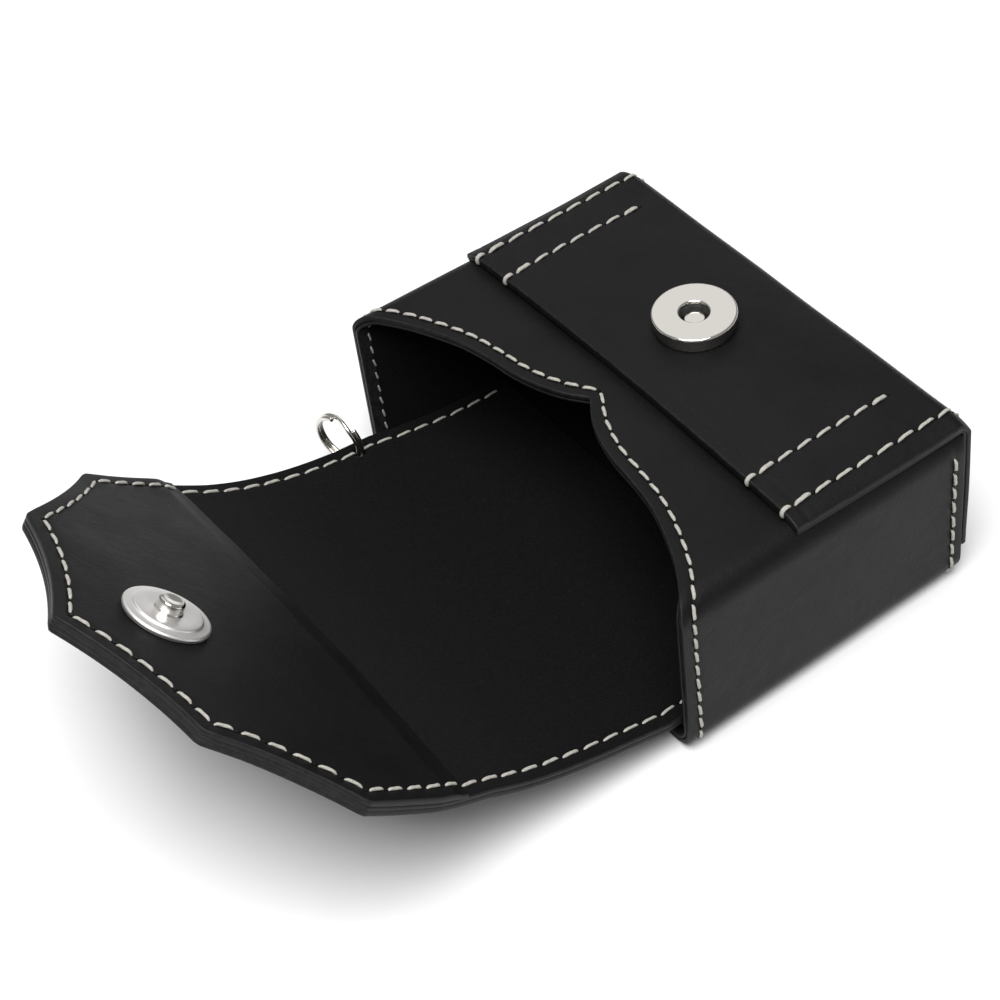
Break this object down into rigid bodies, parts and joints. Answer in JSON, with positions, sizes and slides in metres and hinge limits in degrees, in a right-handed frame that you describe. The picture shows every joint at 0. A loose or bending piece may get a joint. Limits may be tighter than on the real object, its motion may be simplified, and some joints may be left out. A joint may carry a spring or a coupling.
{
  "type": "leather ever ready case",
  "caption": "Black leather case for a compact camera, open on its back, with a shaped fold-over flap, a magnetic snap and a split ring.",
  "frame": {"origin": "centre of the outer face of the back panel, which the case lies on", "axes": "+X across the width, +Y from the mouth to the bottom end, +Z from the back panel towards the front panel"},
  "size_m": [0.1187, 0.1733, 0.0651],
  "materials": {
    "leather": "smooth dyed leather with a soft sheen",
    "suede": "fine napped suede",
    "nickel": "polished nickel plate",
    "magnet": "sintered ferrite"
  },
  "bodies": {
    "case": {"outer_wrap": "leather", "body_lining": "suede", "bottom_panel": "leather", "bottom_lining": "suede", "strap_backing": "leather", "strap_leather": "leather", "socket_base": "nickel", "socket_post": "nickel", "socket_cap": "nickel", "socket_magnet": "magnet", "socket_washer": "nickel", "socket_prong_1": "nickel", "socket_prong_2": "nickel", "flap_root_leather": "leather", "flap_root_lining": "suede"},
    "flap_top": {"flap_top_leather": "leather", "flap_top_lining": "suede"},
    "flap_front": {"flap_front_leather": "leather", "flap_front_lining": "suede", "flap_facing": "leather", "stud_plate": "nickel", "stud_pin": "nickel", "stud_washer": "nickel", "stud_prong_1": "nickel", "stud_prong_2": "nickel"},
    "ring": {"split_ring": "nickel"}
  },
  "joints": [
    {"name": "back_fold", "type": "hinge", "parent": "case", "child": "flap_top", "pos_m": [0, -0.03798, 0.00855], "axis": [-1, 0, 0], "range_deg": [0, 79.4]},
    {"name": "front_fold", "type": "hinge", "parent": "flap_top", "child": "flap_front", "pos_m": [0, -0.07858, 0.0217], "axis": [-1, 0, 0], "range_deg": [0, 59.1]},
    {"name": "ring_swing", "type": "hinge", "parent": "flap_top", "child": "ring", "pos_m": [-0.0504, -0.0439, 0.00842], "axis": [-0.2868, 0.958, 0], "range_deg": [-71, 0]}
  ],
  "couplings": [
    {"joint": "ring_swing", "follows": "back_fold", "ratio": -0.88}
  ]
}
